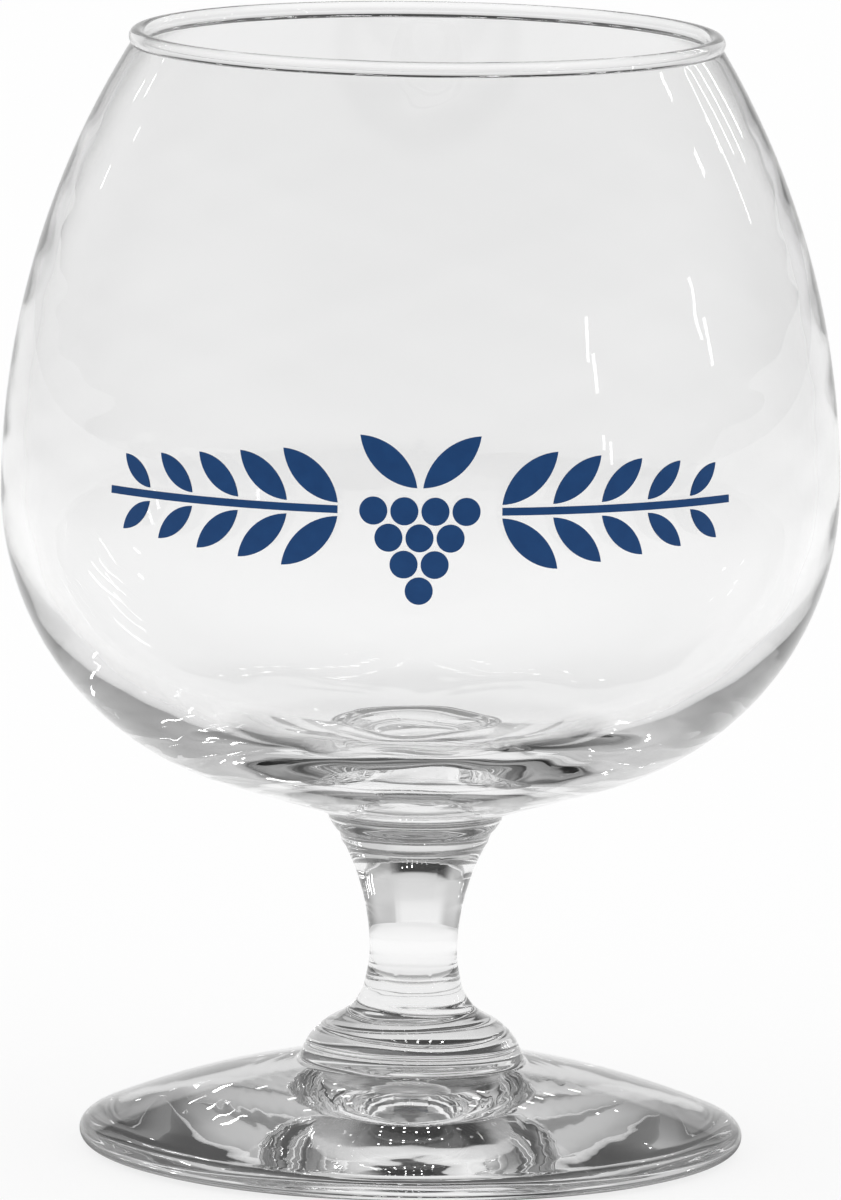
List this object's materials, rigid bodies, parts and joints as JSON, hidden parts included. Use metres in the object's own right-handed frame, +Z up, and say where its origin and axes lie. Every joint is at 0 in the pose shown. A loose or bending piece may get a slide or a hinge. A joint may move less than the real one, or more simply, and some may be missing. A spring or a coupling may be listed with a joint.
{
  "type": "brandy snifter",
  "caption": "Short-stemmed brandy snifter of clear glass with a wide bowl, a beaded lip, a belled foot and a blue ornament fired onto the front of the bowl.",
  "frame": {"origin": "centre of the foot, on the plane of the ring that the glass stands on", "axes": "+Z up along the glass's axis toward the lip, front with the ornament toward -Y, +X to the right of the front"},
  "size_m": [0.0888, 0.089, 0.1193],
  "materials": {
    "glass": "clear soda-lime glass, fire-polished",
    "enamel": "blue enamel, screen printed and fired on, satin gloss"
  },
  "bodies": {
    "root": {"bowl": "glass", "stem": "glass", "foot": "glass", "print_bunch": "enamel", "print_twig_left": "enamel", "print_twig_right": "enamel"}
  },
  "joints": []
}
